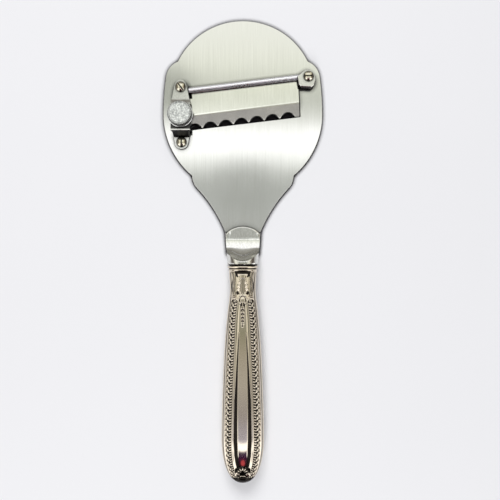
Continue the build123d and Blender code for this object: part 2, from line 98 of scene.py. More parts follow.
def metal(name, pale, deep, roughness, grain, depth, tarnish_and_shade=None, crevice=None):
    """A bare or plated metal. grain is its scratches' size in millimetres along X, Y and Z, depth their
    depth, and crevice how far from a corner between two pieces the metal is painted dark, as shade. The
    colour given after depth is tarnish on the silver and painted shade on the steel's walls and recesses."""
    made, tree, shader, place = material(name)
    shader.inputs["Metallic"].default_value = 1.0
    scratch = add(
        tree, "ShaderNodeMapping", {"Scale": [1 / (size * MM) for size in grain]}, {"Vector": place}
    )
    fine = add(
        tree, "ShaderNodeTexNoise", {"Scale": 1.0, "Detail": 3.0, "Roughness": 0.6},
        {"Vector": scratch.outputs["Vector"]},
    )
    # Broad patches where the belt or the mop pressed more, about 12 mm across
    broad = add(tree, "ShaderNodeTexNoise", {"Scale": 80.0, "Detail": 2.0}, {"Vector": place})
    shade = add(
        tree, "ShaderNodeMapRange", {"From Min": 0.35, "From Max": 0.65}, {"Value": fine.outputs["Fac"]}
    )
    tone = add(
        tree, "ShaderNodeMix", {6: linear(deep), 7: linear(pale)},
        {0: shade.outputs["Result"]}, data_type="RGBA",
    ).outputs[2]
    dull = add(
        tree, "ShaderNodeMapRange",
        {"From Min": 0.3, "From Max": 0.7, "To Min": roughness * 0.9, "To Max": roughness * 1.1},
        {"Value": broad.outputs["Fac"]},
    ).outputs["Result"]
    if tarnish_and_shade:
        # Darker and matter where the recess attribute is high: tarnish in the silver's stamping, and painted
        # shade on the handle's tip and on the steel's walls, slots, knurling, grooves and the bridge's
        # platform
        recess = add(tree, "ShaderNodeAttribute", attribute_name="recess")
        drift = add(
            tree, "ShaderNodeMath", {1: 0.25}, {0: broad.outputs["Fac"]}, operation="MULTIPLY_ADD"
        )
        tree.links.new(recess.outputs["Fac"], drift.inputs[2])
        darkened_share = add(
            tree, "ShaderNodeMapRange", {"From Min": 0.3, "From Max": 0.9, "To Max": 0.97},
            {"Value": drift.outputs["Value"]}, interpolation_type="SMOOTHSTEP",
        ).outputs["Result"]
        tone = add(
            tree, "ShaderNodeMix", {7: linear(tarnish_and_shade)}, {0: darkened_share, 6: tone}, data_type="RGBA"
        ).outputs[2]
        matt = add(tree, "ShaderNodeMath", {1: 0.22}, {0: darkened_share}, operation="MULTIPLY_ADD")
        tree.links.new(dull, matt.inputs[2])
        dull = matt.outputs["Value"]
    if crevice:
        # Painted shade: near black where pieces meet, from ambient occlusion
        corner = add(tree, "ShaderNodeAmbientOcclusion", {"Distance": crevice * MM}, samples=8)
        unshaded = add(
            tree, "ShaderNodeMapRange", {"From Min": 0.52, "From Max": 0.97}, {"Value": corner.outputs["AO"]}
        )
        tone = add(
            tree, "ShaderNodeMix", {6: linear(painted_crevice_shade)}, {0: unshaded.outputs["Result"], 7: tone},
            data_type="RGBA",
        ).outputs[2]
    tree.links.new(tone, shader.inputs["Base Color"])
    tree.links.new(dull, shader.inputs["Roughness"])
    bump = add(
        tree, "ShaderNodeBump", {"Strength": 0.5, "Distance": depth * MM},
        {"Height": fine.outputs["Fac"]},
    )
    tree.links.new(bump.outputs["Normal"], shader.inputs["Normal"])
    return made


# In each metal below, the colour after the depth is painted shade on walls and in recesses (tarnish, on the
# silver), and a last number is how far the painted crevice shade reaches.
# Stainless sheet, belt-sanded along the tool: a satin whose reflections stay sharp along the grain.
# The scratches are drawn 0.25 mm wide, coarser than the real grit, so that they show.
plate_steel = metal(
    "belt_sanded_stainless_sheet", "DEDEDC", "D6D6D3", 0.1, (0.25, 30, 0.25), 0.003, "86868C", 3.0
)
# Blade steel, ground and then fine-polished: paler and a little warmer than the plate
blade_steel = metal("ground_stainless_blade", "F4F4EE", "ECECE4", 0.11, (0.3, 12, 0.3), 0.002, "26262A", 1.3)
# Cast stainless neck, linished along its scoop: brighter than the plate
neck_steel = metal(
    "linished_stainless_neck", "E6E6E3", "D2D2CE", 0.13, (0.4, 2.5, 0.4), 0.004, painted_crevice_shade, 0.6
)
# Stainless strip and blocks, tumbled after bending: near to mirror-bright, with soft edges
bright_steel = metal(
    "tumbled_stainless_strip", "DEDEDB", "D0D0CC", 0.16, (0.5, 0.9, 0.5), 0.003, "3A3A3C", 1.8
)
# Drawn bright rod, polished across as it turned: cool, and satin enough to blur the room
rod_steel = metal("polished_drawn_rod", "FCFCFF", "F6F6FF", 0.29, (30, 0.5, 0.5), 0.0005, None, 0.6)
# Turned brass under nickel plate: a faint yellow shows through on the screws' domes
screw_steel = metal("turned_nickel_plated_screw", "E0DCCC", "CFCAB6", 0.15, (0.5, 0.5, 0.5), 0.002, "070506")
# Turned and knurled nut, nickel plated: a fine satin
knob_steel = metal("turned_and_knurled_nickel", "DADBDB", "CACBCB", 0.22, (0.4, 0.4, 0.4), 0.008, "0A080A")
# The nut's cap, cast with a stippled field and plated: its pits are about 0.75 mm apart
cap_nickel = metal("stippled_cast_nickel", "F4F6F6", "A6A8AA", 0.26, (0.75, 0.75, 0.75), 0.035, "6A6C6E")
# Silver plate on stamped sheet, burnished on its high places and black with tarnish in the stamping
silver_plate = metal(
    "stamped_and_burnished_silver_plate", "DED4C4", "D4CABA", 0.085, (0.6, 0.6, 0.6), 0.001, "0A0606"
)
# Hard-drawn spring wire, oiled and dark
spring_wire = metal("hard_drawn_spring_wire", "B5B2AA", "8E8B84", 0.28, (0.2, 0.2, 1.0), 0.002)


def cement_material():
    """Resin cement, cast into the handle: dull, brown-grey and grainy."""
    made, tree, shader, place = material("cast_resin_cement")
    grain = add(tree, "ShaderNodeTexNoise", {"Scale": 1500.0, "Detail": 4.0}, {"Vector": place})
    colour = add(
        tree, "ShaderNodeMix", {6: linear("5A5148"), 7: linear("7B7064")},
        {0: grain.outputs["Fac"]}, data_type="RGBA",
    )
    tree.links.new(colour.outputs[2], shader.inputs["Base Color"])
    shader.inputs["Roughness"].default_value = 0.85
    bump = add(
        tree, "ShaderNodeBump", {"Strength": 0.5, "Distance": 0.1 * MM}, {"Height": grain.outputs["Fac"]}
    )
    tree.links.new(bump.outputs["Normal"], shader.inputs["Normal"])
    return made


finishes = {
    "head_plate": plate_steel,
    "blade": blade_steel,
    "pivot_rod": rod_steel,
    "rod_block_right": bright_steel,
    "rod_block_left": bright_steel,
    "bridge_bracket": bright_steel,
    "block_screw": screw_steel,
    "bridge_screw_upper": screw_steel,
    "bridge_screw_lower": screw_steel,
    "adjusting_stud": screw_steel,
    "thumb_knob": knob_steel,
    "knob_cap": cap_nickel,
    "knob_washer": bright_steel,
    "compression_spring": spring_wire,
    "neck_bolster": neck_steel,
    "handle_collar": silver_plate,
    "handle_shell_front": silver_plate,
    "handle_shell_back": silver_plate,
    "handle_core": cement_material(),
}
riders = {node: body for body, names in frame["record"]["behaviour"]["bodies"].items() for node in names}
for node, finish in finishes.items():
    places = frame["nodes"][node].data.materials
    for number in range(len(places)):
        places[number] = finish
    if not len(places):
        places.append(finish)


def placed(name, mesh, finish):
    """A finished bmesh as an object in the scene, with its material."""
    data = bpy.data.meshes.new(name)
    mesh.to_mesh(data)
    mesh.free()
    data.materials.append(finish)
    made = bpy.data.objects.new(name, data)
    bpy.context.scene.collection.objects.link(made)
    return made


def piece(name, mesh, node):
    """Turns a finished bmesh into a piece that stands for a CAD node and rides on its body."""
    made = placed(name, mesh, finishes[node])
    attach(made, riders[node])
    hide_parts(node)
    return made


# Pieces whose form is the CAD's own, with their sharp edges rounded as a file or a tumbler leaves them.

# The largest face, in square metres, that is shaded as part of a rounding
round_area = 3e-6
# An edge that turns more than the first is rounded, and more than the second is shaded sharp
sharp_turn = math.radians(30)
crease_turn = math.radians(50)


def clamped(value):
    """A value held between 0 and 1."""
    return min(1.0, max(0.0, value))


def turns(edge, angle):
    """Whether two faces meet at an edge and turn by more than an angle."""
    return len(edge.link_faces) == 2 and edge.calc_face_angle(0) > angle


def cut(mesh, place, normal):
    """Splits a mesh along a plane, and gives back what lies on the cut."""
    return bmesh.ops.bisect_plane(
        mesh, geom=mesh.verts[:] + mesh.edges[:] + mesh.faces[:], dist=weld,
        plane_co=place, plane_no=normal,
    )["geom_cut"]


def bevel(mesh, edges, width, segments, clamp=True):
    """Rounds some edges to a width in millimetres."""
    bmesh.ops.bevel(
        mesh, geom=edges, offset=width * MM, offset_type="OFFSET", affect="EDGES",
        segments=segments, profile=0.5, material=-1, clamp_overlap=clamp,
    )


def merged(node):
    """A CAD node's mesh as one closed skin, its flat faces whole."""
    mesh = bmesh.new()
    mesh.from_mesh(frame["nodes"][node].data)
    bmesh.ops.remove_doubles(mesh, verts=mesh.verts, dist=weld)
    bmesh.ops.dissolve_limit(
        mesh, angle_limit=math.radians(1), use_dissolve_boundaries=False,
        verts=mesh.verts, edges=mesh.edges, delimit=set(),
    )
    return mesh


def round_edges(mesh, radius, segments):
    """Rounds every sharp edge, and paints shade on the walls."""
    bevel(mesh, [edge for edge in mesh.edges if turns(edge, sharp_turn)], radius, segments)
    for face in mesh.faces:
        face.smooth = face.calc_area() < round_area
    for edge in mesh.edges:
        if turns(edge, crease_turn):
            edge.smooth = False
    # The sheared and sawn walls are painted dark, as shade, and made duller, and the rounding fades into
    # them
    mesh.normal_update()
    layer = mesh.verts.layers.float.new("recess")
    for corner in mesh.verts:
        corner[layer] = clamped((0.85 - abs(corner.normal.z)) / 0.5)


# Where the knob's shadow is painted on the bridge's platform: its places along Y, from its edge to under the
# knob, and its least height
knob_shadow_places = ((66.35, 0.0), (66.75, 0.72), (70.5, 0.72), (70.9, 0.0))
knob_shadow_height = 6.0


def paint_knob_shadow(mesh):
    """Paints the knob's shadow on the bridge's platform before the knob, up to its bright edge."""
    layer = mesh.verts.layers.float["recess"]
    for place, dark in knob_shadow_places:
        for item in cut(mesh, (0, place * MM, 0), (0, 1, 0)):
            if isinstance(item, bmesh.types.BMVert) and item.co.z > knob_shadow_height * MM:
                item[layer] = max(item[layer], dark)


def eased(node, name, radius, taper=None):
    """A CAD piece with its edges rounded. A taper narrows it in X from one Y to another, to a share."""
    mesh = merged(node)
    if taper:
        middle_x, start_y, stop_y, share = taper
        for corner in mesh.verts:
            part = clamped((corner.co.y - start_y * MM) / (stop_y * MM - start_y * MM))
            corner.co.x = middle_x + (corner.co.x - middle_x) * (1 - (1 - share) * part)
    round_edges(mesh, radius, 3)
    if node == "bridge_bracket":
        paint_knob_shadow(mesh)
    return piece(name, mesh, node)


# The bridge's upper tab, and the block under it, narrow towards their screw
screw_low, screw_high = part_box("bridge_screw_upper")
tab_taper = ((screw_low[0] + screw_high[0]) / 2, 83.2, 92.5, 0.78)
eased("head_plate", "sanded_head_plate", 0.3)
eased("rod_block_right", "tumbled_rod_block_right", 0.55)
eased("rod_block_left", "tumbled_rod_block_left", 0.55, tab_taper)
eased("bridge_bracket", "bent_bridge", 0.4, tab_taper)
eased("pivot_rod", "drawn_pivot_rod", 0.15)
eased("knob_washer", "flat_washer", 0.1)


# The blade, polished flat at its back and ground over its bend.

bend_width = 0.35
# The bend starts with a strip that turns down a little, and mirrors the white wall
strip_width = 0.55
strip_drop = 0.017
# The lip runs along the scallops, on the ground face below this height
lip_width = 0.3
lip_height = 2.4
# The ground face is painted greyer than the flat, as shade. It lies under ground_height, and its normal's Z
# under ground_lean
ground_shade = 0.37
ground_height = 2.75
ground_lean = 0.981


def blade_mesh():
    """The blade, with its soft bend, and a lip ground along its scallops that catches the light."""
    mesh = merged("blade")
    bends = [
        e for e in mesh.edges
        if math.radians(8) < e.calc_face_angle(0) < sharp_turn and e.calc_length() > 20 * MM
    ]
    bevel(mesh, bends, bend_width, 3)
    mesh.normal_update()
    bend = [f for f in mesh.faces if 0.99 < f.normal.z < 0.9999 and f.normal.y < 0]
    across = max(bend, key=lambda f: f.calc_area()).normal.copy()
    across.z = 0
    across.normalize()
    start = min((v for f in bend for v in f.verts), key=lambda v: v.co.dot(across)).co.copy()
    cut(mesh, start - across * strip_width * MM, across)
    for corner in mesh.verts:
        if abs((corner.co - start).dot(across)) < 1e-5 and corner.co.z > start.z - 1e-5:
            corner.co.z -= strip_drop * MM
    mesh.normal_update()
    front = max((f for f in mesh.faces if 0.9 < f.normal.z < 0.99), key=lambda f: f.calc_area())
    lip = [
        e for e in front.edges
        if e.calc_length() < 2 * MM and max(v.co.z for v in e.verts) < lip_height * MM
    ]
    bevel(mesh, lip, lip_width, 2)
    round_edges(mesh, 0.1, 2)
    layer = mesh.verts.layers.float["recess"]
    # Painted shade: the ground face is greyed, and the lip's steep parts and the walls darkened
    for corner in mesh.verts:
        turn = abs(corner.normal.z)
        ground = turn < ground_lean and corner.co.z < ground_height * MM
        corner[layer] = min(1.0, max(ground_shade if ground else 0.0, (0.9 - turn) / 0.3))
    return mesh


piece("ground_blade", blade_mesh(), "blade")


def slotted_screw(node, name):
    """A domed screw, with painted shade on its slot's floor, and less of the walls' painted shade on its
    dome.
    """
    slot_drop = 0.885 * MM
    near = 0.06 * MM
    mesh = merged(node)
    round_edges(mesh, 0.07, 2)
    layer = mesh.verts.layers.float["recess"]
    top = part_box(node)[1][2]
    # Painted shade on the slot's floor; the dome keeps less of the walls' painted shade
    for corner in mesh.verts:
        if abs(top - slot_drop - corner.co.z) < near:
            corner[layer] = 1.0
        elif corner.co.z > top - slot_drop:
            corner[layer] *= 0.3
    return piece(name, mesh, node)


for node in ("block_screw", "bridge_screw_upper", "bridge_screw_lower"):
    slotted_screw(node, "slotted_" + node)


# The neck. Its last ring is drawn in, so that a dark groove parts it from the collar.

groove_length = 1.1
groove_shrink = 0.8
# How far the tang reaches out from the handle's middle line
tang_reach = 3.2
# Where the tongue's arch starts, how far it is drawn back, and how much the scoop's end curves
arch_start = 9.9
arch_drop = 1.35
scoop_curve = 0.045
# The height of the tongue's top, and the rounding of its rim
tongue_top = 2.7
tongue_round = 0.6


def neck_mesh():
    """The scooped neck, with its edges rounded and the groove before the collar."""
    mesh = merged("neck_bolster")
    ring_low, ring_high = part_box("handle_collar")
    end_y = ring_high[1]
    axis_z = (ring_low[2] + ring_high[2]) / 2
    cut(mesh, (0, end_y + groove_length * MM, 0), (0, 1, 0))
    # The tongue's arch starts further back than the plain form's, and the scoop ends in a curve
    for place in range(-8, 9):
        cut(mesh, (place * MM, 0, 0), (1, 0, 0))
    bmesh.ops.remove_doubles(mesh, verts=mesh.verts, dist=0.2 * MM)
    for corner in mesh.verts:
        beyond = corner.co.y - arch_start * MM
        if beyond > 0:
            corner.co.y -= 0.03 * beyond + arch_drop * MM
        high = clamped((corner.co.z / MM - 4.0) / 4.5)
        ahead = clamped((corner.co.y / MM + 8.3) / 2.0)
        corner.co.y += scoop_curve * min(abs(corner.co.x / MM), 7.0) ** 2 * high * ahead * MM
    bmesh.ops.recalc_face_normals(mesh, faces=mesh.faces)
    for corner in mesh.verts:
        outer = max(abs(corner.co.x), abs(corner.co.z - axis_z)) > tang_reach * MM
        if abs(corner.co.y - end_y) < 1e-6 and outer:
            corner.co.x *= groove_shrink
            corner.co.z = axis_z + (corner.co.z - axis_z) * groove_shrink
    # The tongue's arch and sides are rounded more than the rest, so its edge catches the light
    rim = [
        e for e in mesh.edges
        if turns(e, sharp_turn) and all(abs(v.co.z / MM - tongue_top) < 0.05 for v in e.verts)
    ]
    bevel(mesh, rim, tongue_round, 5, clamp=False)
    round_edges(mesh, 0.45, 3)
    layer = mesh.verts.layers.float["recess"]
    # Painted shade: the groove before the collar is painted dark
    for corner in mesh.verts:
        in_groove = corner.co.y < end_y + (groove_length - 0.1) * MM
        corner[layer] = 1.0 if in_groove else 0.0
    return mesh


piece("linished_neck", neck_mesh(), "neck_bolster")


def turned(profile, steps, wide=1.0, tall=1.0, axis=(0, 0, 1)):
    """A turned shape from its outline, as pairs of radius and height in millimetres. wide and tall then
    stretch it in X and Z."""
    mesh = bmesh.new()
    start = (1, 0, 0)
    corners = [
        mesh.verts.new([MM * (r * a + h * b) for a, b in zip(start, axis)]) for r, h in profile
    ]
    sides = [mesh.edges.new(pair) for pair in zip(corners, corners[1:])]
    bmesh.ops.spin(
        mesh, geom=corners + sides, cent=(0, 0, 0), axis=axis, dvec=(0, 0, 0),
        angle=2 * math.pi, steps=steps, use_merge=True, use_duplicate=False,
    )
    bmesh.ops.remove_doubles(mesh, verts=mesh.verts, dist=weld)
    bmesh.ops.scale(mesh, verts=mesh.verts, vec=(wide, 1, tall))
    bmesh.ops.recalc_face_normals(mesh, faces=mesh.faces)
    return mesh


def crisp(mesh, turn):
    """Shades a mesh smooth, but keeps the edges sharp that turn by more than an angle."""
    for face in mesh.faces:
        face.smooth = True
    for edge in mesh.edges:
        if turns(edge, turn):
            edge.smooth = False


# The knob, a knurled nut with a cap let into its top.

knob_low, knob_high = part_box("thumb_knob")
stud_x = (knob_low[0] + knob_high[0]) / 2
stud_y = (knob_low[1] + knob_high[1]) / 2
knob_foot = knob_low[2] / MM
knob_head = knob_high[2] / MM
flange_radius = (knob_high[0] - knob_low[0]) / 2 / MM
knurl_radius = 6.7
knurl_count = 44
knurl_depth = 0.36
thread_radius = 2.05
cap_radius = 5.9
# The groove round the cap's stippled field, painted dark as shade
cap_groove = 5.43


def knob_mesh():
    """The knurled nut: a thin flange, a neck, chamfered straight knurling and a rim round its cap."""
    low, high = knob_foot, knob_head
    profile = [
        (thread_radius, low),
        (flange_radius - 0.15, low),
        (flange_radius, low + 0.15),
        (flange_radius, low + 0.55),
        (flange_radius - 0.15, low + 0.7),
        (knurl_radius - 0.5, low + 0.72),
        (knurl_radius - 0.5, low + 0.95),
        (knurl_radius - 0.06, low + 1.2),
        (knurl_radius, low + 1.4),
        (knurl_radius, low + 2.2),
        (knurl_radius, low + 3.2),
        (knurl_radius, high - 0.5),
        (knurl_radius - 0.05, high - 0.16),
        (knurl_radius - 0.2, high),
        (cap_radius + 0.06, high),
        (cap_radius, high - 0.06),
        (cap_radius, high - 0.5),
        (thread_radius, high - 0.5),
        (thread_radius, low),
    ]
    mesh = turned(profile, knurl_count * 6)
    layer = mesh.verts.layers.float.new("recess")
    # Painted shade: the knurled wall, the neck above the flange and the top chamfer are painted dark
    for corner in mesh.verts:
        reach = math.hypot(corner.co.x, corner.co.y)
        height = corner.co.z / MM - low
        if knurl_radius - 0.2 < reach / MM and height > 1.0:
            turn = math.atan2(corner.co.y, corner.co.x) * knurl_count
            fade = min(1.0, (height - 1.0) / 0.3)
            depth = fade * (0.5 - 0.5 * math.cos(turn)) ** 0.8
            corner.co.x *= (reach - depth * knurl_depth * MM) / reach
            corner.co.y *= (reach - depth * knurl_depth * MM) / reach
            corner[layer] = 0.45 + depth * 0.5
        elif 0.7 < height < 1.0:
            corner[layer] = 0.9
        if height > high - low - 0.3 and reach / MM > knurl_radius - 0.15:
            corner[layer] = 0.8
    crisp(mesh, math.radians(35))
    bmesh.ops.translate(mesh, verts=mesh.verts, vec=(stud_x, stud_y, 0))
    return mesh


def cap_mesh():
    """The plain disc in the knob's top, with a raised rim round its stippled field."""
    top = knob_head
    profile = [
        (0, top - 0.12),
        (2.6, top - 0.12),
        (5.3, top - 0.12),
        (cap_groove, top - 0.12),
        (5.52, top),
        (5.7, top),
        (5.8, top - 0.1),
        (5.84, top - 0.3),
        (5.84, top - 0.49),
        (0, top - 0.49),
    ]
    mesh = turned(profile, 96)
    layer = mesh.verts.layers.float.new("recess")
    # Painted shade in the groove round the stippled field
    for corner in mesh.verts:
        reach = math.hypot(corner.co.x, corner.co.y) / MM
        corner[layer] = 0.9 if abs(reach - cap_groove) < 0.05 else 0.0
    crisp(mesh, math.radians(25))
    bmesh.ops.translate(mesh, verts=mesh.verts, vec=(stud_x, stud_y, 0))
    return mesh


piece("knurled_knob", knob_mesh(), "thumb_knob")
piece("stippled_knob_cap", cap_mesh(), "knob_cap")


# The collar: an oval bead between two dark grooves, and a thin ring, turned and then pressed oval.

def collar_mesh():
    """The collar's bead, its grooves and the ring that the shells start from."""
    low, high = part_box("handle_collar")
    wide = (high[0] - low[0]) / 2 / MM
    tall = (high[2] - low[2]) / 2 / MM
    back = low[1] / MM
    front = high[1] / MM
    axis_z = (low[2] + high[2]) / 2
    bead = 1.35
    profile = [
        (tang_reach, front),
        (wide - 1.3, front),
        (wide - 0.62, front - 0.06),
        (wide - 0.28, front - 0.2),
        (wide - 0.07, front - 0.42),
        (wide, front - 0.68),
        (wide - 0.07, front - 0.94),
        (wide - 0.28, front - 1.16),
        (wide - 0.62, front - bead + 0.04),
        (wide - 0.95, front - bead - 0.08),
        (wide - 0.95, front - bead - 0.38),
        (wide - 0.4, front - bead - 0.46),
        (wide - 0.26, front - bead - 0.6),
        (wide - 0.34, back + 0.08),
        (wide - 0.6, back),
        (tang_reach, back),
        (tang_reach, front),
    ]
    mesh = turned(profile, 128, 1.0, tall / wide, (0, 1, 0))
    layer = mesh.verts.layers.float.new("recess")
    for corner in mesh.verts:
        reach = math.hypot(corner.co.x / MM, corner.co.z / MM * wide / tall)
        corner[layer] = clamped((wide - 0.3 - reach) / 0.25)
    crisp(mesh, math.radians(60))
    bmesh.ops.translate(mesh, verts=mesh.verts, vec=(0, 0, axis_z))
    return mesh


piece("ringed_collar", collar_mesh(), "handle_collar")


# The handle, two stamped shells. Lengths here are millimetres: x runs across, y along and down to the tip,
# v is how far a place lies from the collar, and u how far it lies from the tip.

shell_low, shell_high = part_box("handle_shell_front")
shell_front = shell_high[1] / MM
handle_end = shell_low[1] / MM
handle_axis = shell_low[2] / MM
half_width = 11.75
half_height = 7.0
# The width and the thickness at even steps along the shells, up to the widest place
handle_shares = (
    (0.655, 0.735), (0.607, 0.71), (0.712, 0.785), (0.808, 0.865), (0.876, 0.92),
    (0.922, 0.955), (0.957, 0.98), (0.985, 0.995), (1.0, 1.0),
)
widest_y = shell_front - (shell_front - handle_end) * 0.78
end_power = 2 / 2.3


def share_at(place, column):
    """A smooth curve through the shares, where place runs from 0 to the last station."""
    last = len(handle_shares) - 1
    values = [shares[column] for shares in handle_shares]
    left = max(0, min(last - 1, int(place)))
    part = place - left
    ends = [
        (values[min(last, k + 1)] - values[max(0, k - 1)]) / (min(last, k + 1) - max(0, k - 1))
        for k in (left, left + 1)
    ]
    rise = values[left + 1] - values[left]
    a = ends[0] + ends[1] - 2 * rise
    b = 3 * rise - 2 * ends[0] - ends[1]
    return values[left] + part * (ends[0] + part * (b + part * a))


def station(travel):
    """Half the width, half the thickness and y. travel is 0 at the collar, 1 at the widest place and 2 at
    the tip."""
    if travel <= 1:
        place = travel * (len(handle_shares) - 1)
        y = shell_front + (widest_y - shell_front) * travel
        return half_width * share_at(place, 0), half_height * share_at(place, 1), y
    turn = (travel - 1) * math.pi / 2
    shrink = math.cos(turn) ** end_power if turn < math.pi / 2 - 1e-6 else 0.0
    y = widest_y + (handle_end - widest_y) * math.sin(turn) ** end_power
    return half_width * shrink, half_height * shrink, y


# Across each row the columns follow the border, its fillet, the channel and the panel.

side_rows = 392
end_rows = 112
row_travels = [k / side_rows for k in range(side_rows)]
row_travels += [1 + k / end_rows for k in range(end_rows - 2)] + [2.0]
rim_places = (0.0, 0.02, 0.06, 0.13, 0.24, 0.36, 0.47, 0.6, 0.72, 0.86)
band_width = 3.4
band_columns = 18
fillet_width = 0.95
fillet_columns = 5
slope_columns = 2
channel_shares = (0.0, 0.06, 0.22, 0.5, 0.78, 0.94)
panel_columns = 7
panel_places = (0, 16, 24, 38, 46, 54, 70, 82, 92, 100, 106, 111, 118)
panel_halves = (1.2, 1.25, 1.55, 1.95, 2.35, 2.6, 2.9, 2.9, 2.8, 2.5, 1.9, 1.0, 0.3)
channel_places = (0, 34, 38, 46, 57, 70, 92, 104, 110, 118)
channel_widths = (0.05, 0.05, 0.35, 0.6, 1.0, 1.7, 2.3, 2.1, 1.4, 0.3)


def margin_at(half, y):
    """How far in from the outline the border starts: less where the handle is slim."""
    part = np.clip((half - 8.6) / 1.8, 0, 1)
    slim = 1.3 + 0.8 * part * part * (3 - 2 * part)
    return np.where(y < widest_y, 2.1, slim)


def shrink_at(half, y):
    """How much the border narrows towards the tip."""
    return np.where(y < widest_y, np.clip(half / half_width, 0.02, 1.0), 1.0)


def column_places(half, y):
    """Where the columns lie across one half of a row, from its edge to the middle."""
    v = shell_front - y
    shrink = float(shrink_at(half, y))
    margin = float(margin_at(half, y)) * shrink
    panel = min(float(np.interp(v, panel_places, panel_halves)), 0.42 * half)
    channel = float(np.interp(v, channel_places, channel_widths))
    band_end = half - margin - band_width * shrink
    fillet_end = band_end - fillet_width * shrink
    fillet_end = max(fillet_end, panel + 0.1)
    channel_end = min(panel + channel, fillet_end - 0.02)
    places = [half - share * margin for share in rim_places]
    for start, end, count in (
        (half - margin, band_end, band_columns),
        (band_end, fillet_end, fillet_columns),
        (fillet_end, channel_end, slope_columns),
    ):
        places += [start + (end - start) * k / count for k in range(count)]
    places += [channel_end + (panel - channel_end) * share for share in channel_shares]
    return places + [panel * (1 - k / panel_columns) for k in range(panel_columns)] + [0.0]


def smooth(value, start, end):
    """0 before start and 1 after end, with an easy curve between. The ends may be swapped."""
    part = np.clip((value - start) / (end - start), 0, 1)
    return part * part * (3 - 2 * part)


def lump(x, y, at_x, at_y, long, wide, turn=0):
    """A rounded oval lump, 1 at its top, with its long axis turned by degrees from x."""
    c, s = math.cos(math.radians(turn)), math.sin(math.radians(turn))
    along = ((x - at_x) * c + (y - at_y) * s) / long
    across = ((y - at_y) * c - (x - at_x) * s) / wide
    return np.clip(1 - along**2 - across**2, 0, 1) ** 0.6


def ridge(distance, half):
    """A rounded rib, 1 along its middle line."""
    return np.clip(1 - (distance / half) ** 2, 0, 1) ** 0.6


def line(distance, half):
    """A soft-edged scored line, 1 along its middle."""
    return np.exp(-((distance / half) ** 2))


def outline_places(x, y):
    """For each place in plan, its distance to the handle's outline and how far along the outline that is."""
    travels = [k / 300 for k in range(300)] + [1 + k / 200 for k in range(201)]
    edge = np.array([(a, at) for a, b, at in map(station, travels)])
    along = np.concatenate([[0], np.cumsum(np.hypot(*np.diff(edge, axis=0).T))])
    apart = np.empty(len(x))
    far = np.empty(len(x))
    for start in range(0, len(x), 4000):
        part = slice(start, start + 4000)
        across = np.abs(x[part])[:, None] - edge[None, :-1, 0]
        down = y[part][:, None] - edge[None, :-1, 1]
        run = np.diff(edge, axis=0)
        share = np.clip(
            (across * run[:, 0] + down * run[:, 1]) / np.maximum((run**2).sum(axis=1), 1e-12), 0, 1
        )
        gap = np.hypot(across - share * run[:, 0], down - share * run[:, 1])
        near = gap.argmin(axis=1)
        pick = np.arange(len(near))
        apart[part] = gap[pick, near]
        far[part] = along[near] + share[pick, near] * np.diff(along)[near]
    return apart, far, along[-1]


# The border starts at arch_v, and its figures repeat after each unit
arch_v = 16.9
unit_length = 3.0
stamp_depth = 0.42
band_half = band_width / 2


def border(offset, along, start, stop):
    """The border's stamped figures: a row of slanted leaves with beads between, inside a row of bars."""
    units = round((stop - start) / unit_length)
    unit = (stop - start) / units
    local = (((along - start) / unit) % 1.0 - 0.5) * unit
    figures = np.zeros(len(offset))
    for shift in (-unit, 0, unit):
        at = local + shift
        figures = np.maximum(figures, lump(at, offset, 0.0, -0.72, 1.35, 0.62, 34))
        figures = np.maximum(figures, lump(at, offset, 1.5, -1.2, 0.6, 0.5))
        for leg in (-0.75, 0.75):
            stem = ridge(at - leg + 0.25 * (offset - 0.9), 0.42) * smooth(offset, 0.05, 0.3)
            figures = np.maximum(figures, stem * smooth(offset, 1.66, 1.5))
    return figures


def palmette(x, side, v):
    """The palmette under the collar, with four pairs of leaves and three crescents at its foot."""
    leaf = np.maximum(lump(x, v, 0, 3.6, 1.7, 2.1), 0.95 * lump(x, v, 0, 8.6, 1.35, 5.2))
    for at_v, reach, turn in ((6.9, 1.35, -58), (8.7, 1.95, -50), (10.7, 2.25, -38)):
        leaf = np.maximum(leaf, lump(side, v, reach, at_v, 1.15, 0.42, turn))
    for at_x in (-1.4, 0.0, 1.4):
        leaf = np.maximum(leaf, lump(x, v, at_x, 13.0, 0.66, 0.5))
    return leaf


